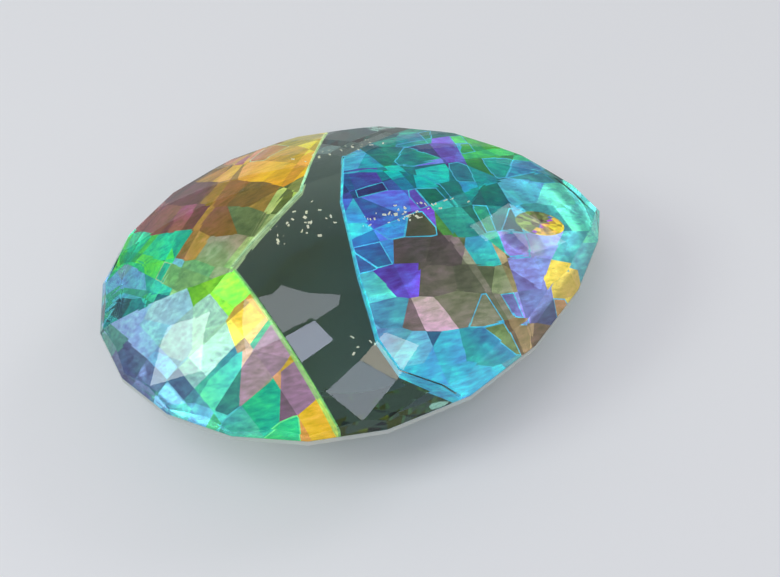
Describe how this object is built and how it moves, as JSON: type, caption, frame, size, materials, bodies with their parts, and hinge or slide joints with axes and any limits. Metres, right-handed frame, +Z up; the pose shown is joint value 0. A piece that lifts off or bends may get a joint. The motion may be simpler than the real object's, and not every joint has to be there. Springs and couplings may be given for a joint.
{
  "type": "faceted rainbow quartz gemstone",
  "caption": "Clear quartz crystal cut as a blunt pear with rings of kite facets, iridescent fractures inside, lying on its base facet.",
  "frame": {"origin": "middle of the bounding box at the level of the base facet that the stone stands on", "axes": "+X along the long axis towards the tip, +Z up through the table facet"},
  "size_m": [0.0342, 0.0232, 0.0124],
  "materials": {
    "clear_quartz": "polished clear crystal with plane facets"
  },
  "bodies": {
    "root": {"faceted_quartz": "clear_quartz"}
  },
  "joints": []
}
